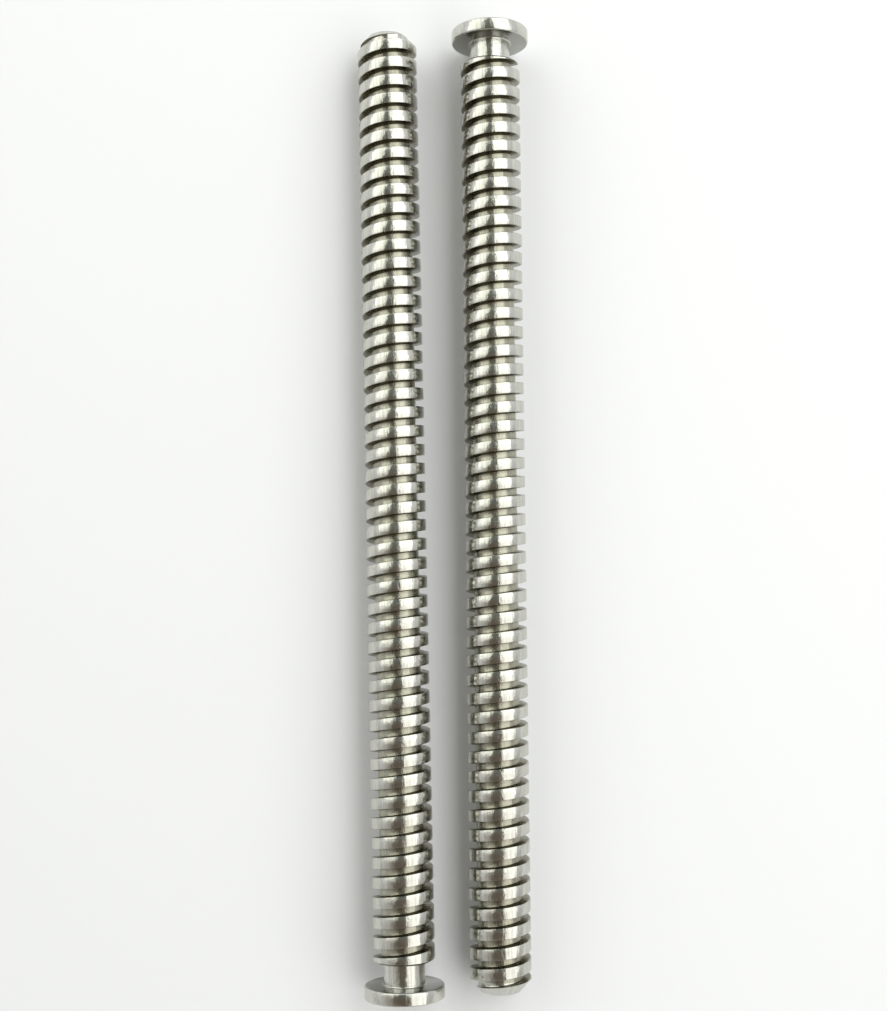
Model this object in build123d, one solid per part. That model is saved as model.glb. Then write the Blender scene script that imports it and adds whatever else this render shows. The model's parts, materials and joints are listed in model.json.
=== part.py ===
from build123d import *
import math
import os

# A pair of identical turned stainless steel lead screws, stored side by side
# and head to tail on a flat surface.
#
# Units are millimetres and +Z is up.  The origin is the centre of the pair's
# bounding box, at the surface that the screws lie on.  The screws run along Y:
# the left one has its head at -Y and the right one has its head at +Y.

# Driving dimensions of one screw
MAJOR_DIAMETER = 16.0
LEAD = 5.0                      # single start, right-hand
ROOT_DIAMETER = 11.6
GROOVE_AT_CREST = 2.05          # width of the groove at the major diameter
GROOVE_AT_ROOT = 1.75           # width of the flat groove floor
OVERALL_LENGTH = 255.0
HEAD_DIAMETER = 20.7
HEAD_THICKNESS = 3.4
HEAD_EDGE_BREAK = 0.3
NECK_DIAMETER = 10.7
NECK_LENGTH = 6.0
SHOULDER_CHAMFER = 0.45
TIP_CHAMFER_LENGTH = 3.2
TIP_FACE_DIAMETER = 10.2

# Driving dimensions of the layout
HEAD_SPACING_X = 26.4           # between the two heads' axes, across the pair
TOE_ANGLE = 0.35                # degrees that each axis turns from the Y direction
SPAN_Y = 255.6                  # between the two heads' outer faces
LEFT_ROLL = 202.0               # degrees each screw has rolled about its own axis
RIGHT_ROLL = 295.0

# Values worked out from the driving dimensions
major_radius = MAJOR_DIAMETER / 2
root_radius = ROOT_DIAMETER / 2
head_radius = HEAD_DIAMETER / 2
neck_radius = NECK_DIAMETER / 2
tip_radius = TIP_FACE_DIAMETER / 2
shoulder_at = HEAD_THICKNESS + NECK_LENGTH
tip_chamfer_at = OVERALL_LENGTH - TIP_CHAMFER_LENGTH
# Each screw rests on its head's inner edge and on the last full crest at its tip.
head_rest_at = HEAD_THICKNESS - HEAD_EDGE_BREAK
tilt_angle = math.degrees(math.atan2(head_radius - major_radius, tip_chamfer_at - head_rest_at))

RIDGE_BELOW_ROOT = 0.3          # how deep the ridge's base is sunk into the core
TRIM_CLEARANCE = 0.5            # how far the trimming sleeve stands off the crests
EXTRA_TURNS = 2                 # turns past each end, which the sleeve trims off
TURNS_PER_LENGTH = 14           # the ridge is made in equal lengths that meet end to end


def turned(outline):
    """A solid of revolution about Z from (radius, axial distance) points."""
    with BuildPart() as piece:
        with BuildSketch(Plane.XZ):
            with BuildLine():
                Polyline(*outline, close=True)
            make_face()
        revolve(axis=Axis.Z)
    return piece.part


def head_and_neck():
    """The round head with broken edges, and the neck that ends in the shoulder."""
    return turned(
        [
            (0, 0),
            (head_radius - HEAD_EDGE_BREAK, 0),
            (head_radius, HEAD_EDGE_BREAK),
            (head_radius, head_rest_at),
            (head_radius - HEAD_EDGE_BREAK, HEAD_THICKNESS),
            (neck_radius, HEAD_THICKNESS),
            (neck_radius, shoulder_at),
            (0, shoulder_at),
        ]
    )


def ridge_length(turns):
    """A whole number of turns of the right-hand ridge that the groove leaves standing."""
    flank_slope = (GROOVE_AT_CREST - GROOVE_AT_ROOT) / 2 / (major_radius - root_radius)
    half_crest = (LEAD - GROOVE_AT_CREST) / 2
    base_radius = root_radius - RIDGE_BELOW_ROOT
    half_base = half_crest + flank_slope * (major_radius - base_radius)
    helix = Helix(pitch=LEAD, height=turns * LEAD, radius=major_radius)
    with BuildSketch(Plane(origin=(0, 0, 0), x_dir=(1, 0, 0), z_dir=(0, -1, 0))) as section:
        with BuildLine():
            Polyline(
                (base_radius, -half_base),
                (major_radius, -half_crest),
                (major_radius, half_crest),
                (base_radius, half_base),
                close=True,
            )
        make_face()
    return sweep(section.sketch, path=helix, is_frenet=True)


def threaded_shank():
    """The threaded length: the ridge on its core, chamfered at the shoulder and at the tip."""
    start = shoulder_at - EXTRA_TURNS * LEAD
    turns = (OVERALL_LENGTH - shoulder_at) / LEAD + 2 * EXTRA_TURNS
    lengths = math.ceil(turns / TURNS_PER_LENGTH)
    pitch_of_lengths = TURNS_PER_LENGTH * LEAD
    core = Pos(0, 0, start) * Cylinder(
        root_radius, lengths * pitch_of_lengths, align=(Align.CENTER, Align.CENTER, Align.MIN)
    )
    ridge = ridge_length(TURNS_PER_LENGTH)
    ridges = [Pos(0, 0, start + i * pitch_of_lengths) * ridge for i in range(lengths)]
    tip_slope = TIP_CHAMFER_LENGTH / (major_radius - tip_radius)
    sleeve_radius = major_radius + TRIM_CLEARANCE
    sleeve = turned(
        [
            (0, shoulder_at),
            (major_radius - SHOULDER_CHAMFER, shoulder_at),
            (sleeve_radius, shoulder_at + SHOULDER_CHAMFER + TRIM_CLEARANCE),
            (sleeve_radius, tip_chamfer_at - TRIM_CLEARANCE * tip_slope),
            (tip_radius, OVERALL_LENGTH),
            (0, OVERALL_LENGTH),
        ]
    )
    return (core + ridges) & sleeve


def lead_screw():
    """One whole screw on the Z axis, with its head's outer face at the origin."""
    return head_and_neck() + threaded_shank()


def laid_down(screw, head_x, head_y, heading, roll):
    """The screw lying on the surface, with its head at (head_x, head_y).

    heading is the angle about Z, from +Y, that the screw points to from head to tip.
    """
    along_y = Rot(-90, 0, 0) * Rot(0, 0, roll) * screw
    # The head's radius is the larger, so the axis falls towards the tip.
    rest_height = head_radius * math.cos(math.radians(tilt_angle))
    tilted = Pos(0, 0, rest_height) * Rot(-tilt_angle, 0, 0) * Pos(0, -head_rest_at, 0) * along_y
    return Pos(head_x, head_y, 0) * Rot(0, 0, heading) * Pos(0, head_rest_at, 0) * tilted


def main():
    screw = lead_screw()
    head_x = HEAD_SPACING_X / 2
    head_y = SPAN_Y / 2
    nodes = {
        "left_lead_screw": laid_down(screw, -head_x, -head_y, TOE_ANGLE, LEFT_ROLL),
        "right_lead_screw": laid_down(screw, head_x, head_y, 180 - TOE_ANGLE, RIGHT_ROLL),
    }
    os.makedirs("parts", exist_ok=True)
    for name, solid in nodes.items():
        solid.label = name
        export_step(solid, f"parts/{name}.step")


main()
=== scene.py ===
"""A pair of turned stainless steel lead screws, lying side by side and head to tail."""
import json
import math

import bmesh
import bpy
from mathutils import Matrix, Vector


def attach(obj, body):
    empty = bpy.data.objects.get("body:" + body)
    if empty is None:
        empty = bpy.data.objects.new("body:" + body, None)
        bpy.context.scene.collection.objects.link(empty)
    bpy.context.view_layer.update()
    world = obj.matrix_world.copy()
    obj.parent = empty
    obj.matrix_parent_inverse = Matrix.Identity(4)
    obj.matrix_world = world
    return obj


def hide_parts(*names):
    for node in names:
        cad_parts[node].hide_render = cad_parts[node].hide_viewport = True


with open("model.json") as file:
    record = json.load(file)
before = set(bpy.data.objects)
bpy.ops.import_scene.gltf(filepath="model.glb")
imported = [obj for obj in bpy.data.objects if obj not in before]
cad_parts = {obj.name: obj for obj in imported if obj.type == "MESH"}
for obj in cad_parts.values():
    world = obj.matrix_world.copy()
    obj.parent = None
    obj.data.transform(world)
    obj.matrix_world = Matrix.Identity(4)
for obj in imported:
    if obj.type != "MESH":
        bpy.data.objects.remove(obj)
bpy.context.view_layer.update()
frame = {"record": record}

MM = 0.001
MOUNTS = {mount["name"]: mount for mount in frame["record"]["mounts"]}

# The screw, in millimetres along its axis from the head's outer face
LEAD = 5.0
ROOT_RADIUS = 5.8
GROOVE_AT_CREST = 2.05
GROOVE_AT_ROOT = 1.75
HEAD_THICKNESS = 3.4
HEAD_EDGE = 0.3
SHOULDER_CHAMFER = 0.45
TIP_CHAMFER_LENGTH = 3.2
TIP_RADIUS = 5.1
ROLL = {"left": 202.0, "right": 295.0}

# Finer shapes than the CAD model has
CREST_ROUND = 0.14
FLOOR_ROUND = 0.18
NECK_FILLET = 0.35
EDGE_ROUND = 0.08
SEGMENTS_PER_TURN = 72
ROUND_STEPS = 2
EXTRA_TURNS = 2
TRIM_CLEARANCE = 0.5

SHARP_ANGLE = 32
FILLET_STEPS = 4
# How far a step down a 45 degree edge break goes along each axis, as a share of the step
BREAK_SHARE = 0.7

# Where the painted groove shade, with some residue at its corners, and the rougher groove finish
# change, in millimetres
CREST_ENDS = 7.9
FLANK_STARTS = 7.4
FLANK_ENDS = 6.3
FLOOR_STARTS = 5.9
CORNER_SHADE_STARTS = 0.30
DARK_CORNER_AT = 0.86
DARK_EDGE_STARTS = 1.08
DARK_EDGE_ENDS = 1.30

# The studio, in metres
FLOOR_SIZE = 8.0
LIGHT_DISTANCE = 0.9
LIGHT_LENGTH = 2.2

# The camera, in metres and degrees
CAMERA_PLACE = (-0.01029, -0.03228, 0.38329)
CAMERA_PITCH = 4.758
CAMERA_YAW = -1.374
CAMERA_ROLL = -0.771
CAMERA_LENS = 50.42


def mount_size(name, key):
    return MOUNTS[name]["dims"][key]


def arc(centre, radius, start, end, steps):
    """Points on an arc about centre, between two angles in degrees."""
    points = []
    for i in range(steps + 1):
        a = math.radians(start + (end - start) * i / steps)
        points.append((centre[0] + radius * math.cos(a), centre[1] + radius * math.sin(a)))
    return points


def mesh_from(name, verts, faces):
    mesh = bpy.data.meshes.new(name)
    mesh.from_pydata(verts, [], faces)
    bm = bmesh.new()
    bm.from_mesh(mesh)
    bmesh.ops.recalc_face_normals(bm, faces=bm.faces)
    bm.to_mesh(mesh)
    bm.free()
    piece = bpy.data.objects.new(name, mesh)
    bpy.context.scene.collection.objects.link(piece)
    return piece


def turned(name, outline, segments=SEGMENTS_PER_TURN):
    """A closed solid of revolution about Z. outline runs from axis to axis as (radius, z)."""
    verts = [(0, 0, outline[0][1])]
    faces = []
    rings = outline[1:-1]
    for radius, z in rings:
        for i in range(segments):
            a = 2 * math.pi * i / segments
            verts.append((radius * math.cos(a), radius * math.sin(a), z))
    verts.append((0, 0, outline[-1][1]))
    last = len(verts) - 1
    for i in range(segments):
        j = (i + 1) % segments
        faces.append((0, 1 + j, 1 + i))
        for k in range(len(rings) - 1):
            a, b = 1 + k * segments, 1 + (k + 1) * segments
            faces.append((a + i, a + j, b + j, b + i))
        top = 1 + (len(rings) - 1) * segments
        faces.append((top + i, top + j, last))
    return mesh_from(name, verts, faces)


def thread_section(major):
    """One pitch of the thread as (axial, radius) points, from groove centre to groove centre."""
    half_floor = GROOVE_AT_ROOT / 2
    half_open = GROOVE_AT_CREST / 2
    flank = math.atan2(half_open - half_floor, major - ROOT_RADIUS)
    # Both rounds are tangent to the flank, which leans by this angle from square.
    lean = 1 / math.cos(flank) - math.tan(flank)
    degrees = math.degrees(flank)
    floor_centre = (half_floor - FLOOR_ROUND * lean, ROOT_RADIUS + FLOOR_ROUND)
    crest_centre = (half_open + CREST_ROUND * lean, major - CREST_ROUND)
    rising = [(0.0, ROOT_RADIUS)]
    rising += arc(floor_centre, FLOOR_ROUND, -90, -degrees, ROUND_STEPS)
    rising += arc(crest_centre, CREST_ROUND, 180 - degrees, 90, ROUND_STEPS)
    falling = [(LEAD - axial, radius) for axial, radius in reversed(rising[1:])]
    return rising + falling


def threaded_bar(name, major, start, end):
    """A closed bar with the thread on it. Its ridge fades out in the first and last turn."""
    section = thread_section(major)
    columns = len(section)
    turns = math.ceil((end - start) / LEAD) + 2 * EXTRA_TURNS
    steps = turns * SEGMENTS_PER_TURN
    first = start - (EXTRA_TURNS + 0.5) * LEAD
    verts = []
    for i in range(steps + 1):
        a = 2 * math.pi * i / SEGMENTS_PER_TURN
        fade = min(1.0, i / SEGMENTS_PER_TURN, (steps - i) / SEGMENTS_PER_TURN)
        for axial, radius in section:
            r = ROOT_RADIUS + (radius - ROOT_RADIUS) * fade
            z = first + LEAD * i / SEGMENTS_PER_TURN + axial
            verts.append((r * math.cos(a), r * math.sin(a), z))

    def at(i, j):
        # The last column of one turn is the first column of the next.
        if j == columns:
            return at(i + SEGMENTS_PER_TURN, 0)
        return i * columns + j

    faces = []
    low = len(verts)
    verts.append((0, 0, first - LEAD))
    high = len(verts)
    verts.append((0, 0, first + LEAD * (turns + 2)))
    for i in range(steps):
        for j in range(columns):
            if j == columns - 1 and i + 1 + SEGMENTS_PER_TURN > steps:
                continue
            faces.append((at(i, j), at(i + 1, j), at(i + 1, j + 1), at(i, j + 1)))
    for i in range(SEGMENTS_PER_TURN):
        faces.append((at(i + 1, 0), at(i, 0), low))
    for j in range(columns):
        faces.append((at(0, j), at(0, j + 1), low))
    top = steps - SEGMENTS_PER_TURN
    for i in range(top, steps):
        faces.append((at(i, columns - 1), at(i + 1, columns - 1), high))
    for j in range(columns - 1):
        faces.append((at(steps, j + 1), at(steps, j), high))
    faces.append((at(top, columns - 1), at(top, columns), high))
    return mesh_from(name, verts, faces)


def trimming_sleeve(name, major, shoulder, length):
    """What the threaded bar is cut to: the shoulder's chamfer, the tip's chamfer and both ends."""
    outer = major + TRIM_CLEARANCE
    tip_slope = TIP_CHAMFER_LENGTH / (major - TIP_RADIUS)
    outline = [
        (0, shoulder),
        (major - SHOULDER_CHAMFER, shoulder),
        (outer, shoulder + SHOULDER_CHAMFER + TRIM_CLEARANCE),
        (outer, length - TIP_CHAMFER_LENGTH - TRIM_CLEARANCE * tip_slope),
        (TIP_RADIUS + EDGE_ROUND, length - EDGE_ROUND * tip_slope),
        (TIP_RADIUS - EDGE_ROUND, length),
        (0, length),
    ]
    return turned(name, outline)


def head_and_neck(name, head, neck, shoulder):
    """The round head with rounded edge breaks, and the neck with a fillet at the head."""
    edge = HEAD_EDGE
    r = EDGE_ROUND
    outline = [
        (0, 0),
        (head - edge - r, 0),
        (head - edge + r * BREAK_SHARE, r * BREAK_SHARE),
        (head - r * BREAK_SHARE, edge - r * BREAK_SHARE),
        (head, edge + r),
        (head, HEAD_THICKNESS - edge - r),
        (head - r * BREAK_SHARE, HEAD_THICKNESS - edge + r * BREAK_SHARE),
        (head - edge + r * BREAK_SHARE, HEAD_THICKNESS - r * BREAK_SHARE),
        (head - edge - r, HEAD_THICKNESS),
    ]
    fillet_centre = (neck + NECK_FILLET, HEAD_THICKNESS + NECK_FILLET)
    outline += arc(fillet_centre, NECK_FILLET, 270, 180, FILLET_STEPS)
    outline += [(neck, shoulder + 1), (0, shoulder + 1)]
    return turned(name, outline)


def combine(piece, other, operation):
    """Applies a boolean with another closed mesh, and removes that mesh."""
    modifier = piece.modifiers.new("combine", "BOOLEAN")
    modifier.object = other
    modifier.operation = operation
    modifier.solver = "MANIFOLD"
    depsgraph = bpy.context.evaluated_depsgraph_get()
    result = bpy.data.meshes.new_from_object(piece.evaluated_get(depsgraph))
    piece.modifiers.clear()
    old = piece.data
    piece.data = result
    bpy.data.meshes.remove(old)
    bpy.data.meshes.remove(other.data)
    return piece


def lead_screw(side, material):
    """One screw, shaped along its own Z axis and then laid where the CAD has it."""
    face = MOUNTS[f"{side}_head_face"]
    major = mount_size(f"{side}_thread", "r_mm")
    neck = mount_size(f"{side}_neck", "r_mm")
    head = mount_size(f"{side}_head_rim", "r_mm")
    start = Vector(face["pos_m"])
    along = Vector(MOUNTS[f"{side}_tip_face"]["pos_m"]) - start
    length = along.length / MM
    shoulder = HEAD_THICKNESS + mount_size(f"{side}_neck", "length_mm")

    piece = threaded_bar(f"{side}_screw_turned", major, shoulder, length)
    combine(piece, trimming_sleeve("sleeve", major, shoulder, length), "INTERSECT")
    combine(piece, head_and_neck("head", head, neck, shoulder), "UNION")

    mesh = piece.data
    # The shader reads each point's place in the screw's own frame, in millimetres.
    place = mesh.attributes.new("screw_place", "FLOAT_VECTOR", "POINT")
    for vertex, stored in zip(mesh.vertices, place.data):
        stored.vector = vertex.co
    mesh.shade_smooth()
    mesh.set_sharp_from_angle(angle=math.radians(SHARP_ANGLE))
    mesh.materials.clear()
    mesh.materials.append(material)

    heading = math.atan2(-along.x, along.y)
    drop = math.asin(-along.z / along.length)
    mesh.transform(
        Matrix.Translation(start)
        @ Matrix.Rotation(heading, 4, "Z")
        @ Matrix.Rotation(-drop - math.pi / 2, 4, "X")
        @ Matrix.Rotation(math.radians(ROLL[side]), 4, "Z")
        @ Matrix.Scale(MM, 4)
    )
    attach(piece, f"{side}_screw")
    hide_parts(f"{side}_lead_screw")
    return piece


class Nodes:
    """A short way to add and join shader nodes."""

    def __init__(self, tree):
        self.tree = tree

    def add(self, kind, inputs=None, **settings):
        node = self.tree.nodes.new(kind)
        for key, value in settings.items():
            setattr(node, key, value)
        for key, value in (inputs or {}).items():
            self.put(node.inputs[key], value)
        return node

    def put(self, socket, value):
        if isinstance(value, bpy.types.NodeSocket):
            self.tree.links.new(value, socket)
        else:
            socket.default_value = value

    def math(self, operation, a, b=0.0, clamp=False):
        node = self.add("ShaderNodeMath", {0: a, 1: b}, operation=operation, use_clamp=clamp)
        return node.outputs[0]

    def vector(self, x, y, z):
        return self.add("ShaderNodeCombineXYZ", {0: x, 1: y, 2: z}).outputs[0]

    def noise(self, vector, scale, detail=2.0, roughness=0.5):
        inputs = {"Vector": vector, "Scale": scale, "Detail": detail, "Roughness": roughness}
        return self.add("ShaderNodeTexNoise", inputs).outputs["Fac"]

    def ramp(self, value, low, high, to_low=0.0, to_high=1.0):
        inputs = {0: value, 1: low, 2: high, 3: to_low, 4: to_high}
        return self.add("ShaderNodeMapRange", inputs).outputs[0]

    def mix(self, factor, a, b):
        node = self.add("ShaderNodeMix", data_type="RGBA")
        colours = [socket for socket in node.inputs if socket.type == "RGBA"]
        self.put(node.inputs[0], factor)
        self.put(colours[0], a)
        self.put(colours[1], b)
        return [socket for socket in node.outputs if socket.type == "RGBA"][0]


def turned_steel(shoulder, length):
    """Bright turned stainless steel: lathe lines, chatter along the axis, painted shade in the
    groove with some residue at its corners, and a painted darker head face.
    """
    material = bpy.data.materials.new("turned_stainless_steel")
    material.use_nodes = True
    tree = material.node_tree
    tree.nodes.clear()
    n = Nodes(tree)
    place = n.add("ShaderNodeAttribute", attribute_name="screw_place").outputs["Vector"]
    split = n.add("ShaderNodeSeparateXYZ", {0: place}).outputs
    x, y, axial = split[0], split[1], split[2]
    radius = n.math("SQRT", n.math("ADD", n.math("MULTIPLY", x, x), n.math("MULTIPLY", y, y)))
    # Unit direction from the axis, so that patterns go round the screw with no seam
    across = n.math("DIVIDE", x, radius)
    up = n.math("DIVIDE", y, radius)

    def round_pattern(turn, radial, lengthways, detail):
        vector = n.vector(
            n.math("MULTIPLY", across, turn),
            n.math("MULTIPLY", up, turn),
            n.math("ADD", n.math("MULTIPLY", axial, lengthways), n.math("MULTIPLY", radius, radial)),
        )
        return n.noise(vector, 1.0, detail)

    lathe_lines = round_pattern(0.7, 5.5, 5.5, 3.0)
    chatter = round_pattern(13.0, 0.25, 0.14, 3.0)
    dents = n.noise(place, 0.75, 2.0)
    clouds = n.noise(place, 0.16, 3.0)

    tip_start = length - TIP_CHAMFER_LENGTH
    on_thread = n.ramp(axial, shoulder - 0.4, shoulder + 0.1)
    on_thread = n.math("MULTIPLY", on_thread, n.ramp(axial, tip_start + 0.1, tip_start - 0.1))
    # The groove below the crest gets painted shade in its colour, and a rougher finish.
    depth = n.math("MULTIPLY", n.ramp(radius, CREST_ENDS, FLANK_STARTS), on_thread)
    # The flanks get painted shade, darker than the groove floor.
    flank = n.math("MULTIPLY", n.ramp(radius, FLOOR_STARTS, FLANK_ENDS), depth)
    # The head's inner face is painted darker: partly a duller facing, partly painted shade for the
    # shadowed surface it mirrors.
    before_face = n.ramp(axial, HEAD_THICKNESS - 0.06, HEAD_THICKNESS - 0.01)
    past_face = n.ramp(axial, HEAD_THICKNESS + 0.06, HEAD_THICKNESS + 0.01)
    inner_face = n.math("MULTIPLY", before_face, past_face)
    inner_face = n.math("MULTIPLY", inner_face, n.ramp(radius, 5.6, 6.0))
    # Chatter runs along the turned sides only, and the faced ends have rings.
    past_head_face = n.ramp(axial, 0.02, 0.12)
    before_tip_face = n.ramp(axial, length - 0.02, length - 0.12)
    on_side = n.math("MULTIPLY", past_head_face, before_tip_face)
    on_side = n.math("SUBTRACT", on_side, inner_face, clamp=True)
    streaks = n.math("MULTIPLY", n.ramp(chatter, 0.42, 0.66), on_side)
    # Distance along the axis from the nearest groove centre, in millimetres
    groove_phase = (shoulder / LEAD + 0.5) % 1.0
    turn = n.math("DIVIDE", n.math("ARCTAN2", y, x), 2 * math.pi)
    pitches = n.math("SUBTRACT", n.math("DIVIDE", axial, LEAD), turn)
    phase = n.math("FRACT", n.math("SUBTRACT", pitches, groove_phase))
    from_land = n.math("ABSOLUTE", n.math("SUBTRACT", phase, 0.5))
    from_groove = n.math("MULTIPLY", n.math("SUBTRACT", 0.5, from_land), LEAD)
    # Painted shade, with some residue, in the floor's corners beside the flanks.
    corner_shade_and_residue = n.math("MULTIPLY", n.ramp(from_groove, CORNER_SHADE_STARTS, DARK_CORNER_AT), depth)
    # Painted shade across the groove, ending at the land's edges.
    edge = n.math("MULTIPLY", n.ramp(from_groove, DARK_EDGE_ENDS, DARK_EDGE_STARTS), on_thread)

    steel = n.mix(n.ramp(clouds, 0.35, 0.65), (0.640, 0.635, 0.580, 1), (0.595, 0.605, 0.550, 1))
    steel = n.mix(n.math("MULTIPLY", streaks, 0.4), steel, (0.38, 0.37, 0.33, 1))
    steel = n.mix(n.ramp(lathe_lines, 0.3, 0.7, 0.0, 0.22), steel, (0.45, 0.44, 0.41, 1))
    # Painted shade: the groove darker than the lands.
    steel = n.mix(n.math("MULTIPLY", depth, 0.55), steel, (0.33, 0.32, 0.225, 1))
    # Painted shade and residue in the groove's corners.
    steel = n.mix(n.math("MULTIPLY", corner_shade_and_residue, 0.75), steel, (0.240, 0.225, 0.160, 1))
    # Painted shade up to the land's edges.
    steel = n.mix(n.math("MULTIPLY", edge, 0.35), steel, (0.25, 0.24, 0.18, 1))
    # Painted shade on the flanks.
    steel = n.mix(n.math("MULTIPLY", flank, 0.9), steel, (0.215, 0.200, 0.145, 1))
    # Painted darker head face: the shade it mirrors and a duller facing.
    steel = n.mix(n.math("MULTIPLY", inner_face, 0.8), steel, (0.30, 0.30, 0.28, 1))

    rough = n.ramp(lathe_lines, 0.2, 0.8, 0.12, 0.22)
    rough = n.math("ADD", rough, n.math("MULTIPLY", streaks, 0.08))
    rough = n.math("ADD", rough, n.math("MULTIPLY", depth, 0.08))

    height = n.math("ADD", n.math("MULTIPLY", lathe_lines, 0.25), n.math("MULTIPLY", streaks, 0.22))
    height = n.math("ADD", height, n.math("MULTIPLY", dents, 2.0))
    bump = n.add("ShaderNodeBump", {"Strength": 0.6, "Distance": 0.00006, "Height": height})

    shader = n.add("ShaderNodeBsdfPrincipled", {"Base Color": steel, "Roughness": rough,
                                                "Metallic": 1.0, "Normal": bump.outputs[0]})
    output = n.add("ShaderNodeOutputMaterial")
    tree.links.new(shader.outputs[0], output.inputs[0])
    return material


def pale_surface():
    """The plain white surface under the screws."""
    material = bpy.data.materials.new("pale_surface")
    material.use_nodes = True
    shader = material.node_tree.nodes["Principled BSDF"]
    shader.inputs["Base Color"].default_value = (0.805, 0.818, 0.830, 1)
    shader.inputs["Roughness"].default_value = 0.75
    return material


def floor():
    mesh = bpy.data.meshes.new("surface")
    half = FLOOR_SIZE / 2
    corners = [(-half, -half, 0), (half, -half, 0), (half, half, 0), (-half, half, 0)]
    mesh.from_pydata(corners, [], [(0, 1, 2, 3)])
    mesh.materials.append(pale_surface())
    surface = bpy.data.objects.new("surface", mesh)
    bpy.context.scene.collection.objects.link(surface)


def soft_light(name, lean, half_spread, power, colour, twist=0.0, low_end=1.0):
    """A large soft light over one side. lean is its angle from overhead, towards +X, in degrees.

    twist turns it about the vertical, and low_end is how bright its -Y end is beside its +Y end."""
    light = bpy.data.lights.new(name, "AREA")
    light.shape = "RECTANGLE"
    light.size = 2 * LIGHT_DISTANCE * math.tan(math.radians(half_spread))
    light.size_y = LIGHT_LENGTH
    light.energy = power
    light.color = colour
    light.use_nodes = True
    n = Nodes(light.node_tree)
    along = n.add("ShaderNodeSeparateXYZ", {0: n.add("ShaderNodeNewGeometry").outputs["Parametric"]})
    fade = n.ramp(along.outputs[1], 0.43, 0.56, low_end, 1.0)
    light.node_tree.links.new(fade, light.node_tree.nodes["Emission"].inputs["Strength"])
    lamp = bpy.data.objects.new(name, light)
    bpy.context.scene.collection.objects.link(lamp)
    a = math.radians(lean)
    lamp.location = (LIGHT_DISTANCE * math.sin(a), 0, LIGHT_DISTANCE * math.cos(a))
    lamp.rotation_euler = (0, a, math.radians(twist))
    lamp.visible_camera = False
    return lamp


def studio():
    """Soft light from both sides, a darker gap overhead, a fill for the surface, a pale horizon."""
    soft_light("right_soft_light", 37, 25, 11.0, (1.0, 1.0, 0.97), twist=9, low_end=0.75)
    soft_light("left_soft_light", -49, 22, 6.7, (1.0, 1.0, 0.92), twist=-14, low_end=0.10)
    # This one lights the surface alone, because the steel would mirror it.
    fill = soft_light("surface_fill", 22, 12, 2.2, (1.0, 1.0, 1.0))
    fill.visible_glossy = False
    world = bpy.data.worlds.new("studio")
    world.use_nodes = True
    bpy.context.scene.world = world
    tree = world.node_tree
    n = Nodes(tree)
    direction = n.add("ShaderNodeTexCoord").outputs["Generated"]
    split = n.add("ShaderNodeSeparateXYZ", {0: direction}).outputs
    overhead = n.mix(n.ramp(split[1], -0.2, 0.2), (0.15, 0.115, 0.09, 1), (0.15, 0.165, 0.145, 1))
    horizon = n.mix(n.ramp(split[1], -0.35, 0.25), (0.60, 0.60, 0.60, 1), (0.88, 0.89, 0.91, 1))
    sky = n.mix(n.ramp(split[2], 0.30, 0.85), horizon, overhead)
    background = tree.nodes["Background"]
    tree.links.new(sky, background.inputs[0])
    background.inputs[1].default_value = 1.0


def camera():
    data = bpy.data.cameras.new("camera")
    data.lens = CAMERA_LENS
    data.clip_start = 0.01
    view = bpy.data.objects.new("camera", data)
    bpy.context.scene.collection.objects.link(view)
    view.location = CAMERA_PLACE
    view.rotation_mode = "ZYX"
    view.rotation_euler = [math.radians(a) for a in (CAMERA_PITCH, CAMERA_YAW, CAMERA_ROLL)]
    bpy.context.scene.camera = view


camera()
studio()
floor()
SHOULDER = HEAD_THICKNESS + mount_size("left_neck", "length_mm")
LENGTH = SHOULDER + mount_size("left_thread", "length_mm") + TIP_CHAMFER_LENGTH
steel = turned_steel(SHOULDER, LENGTH)
for side in ("left", "right"):
    lead_screw(side, steel)
bpy.context.scene.view_settings.view_transform = "Standard"
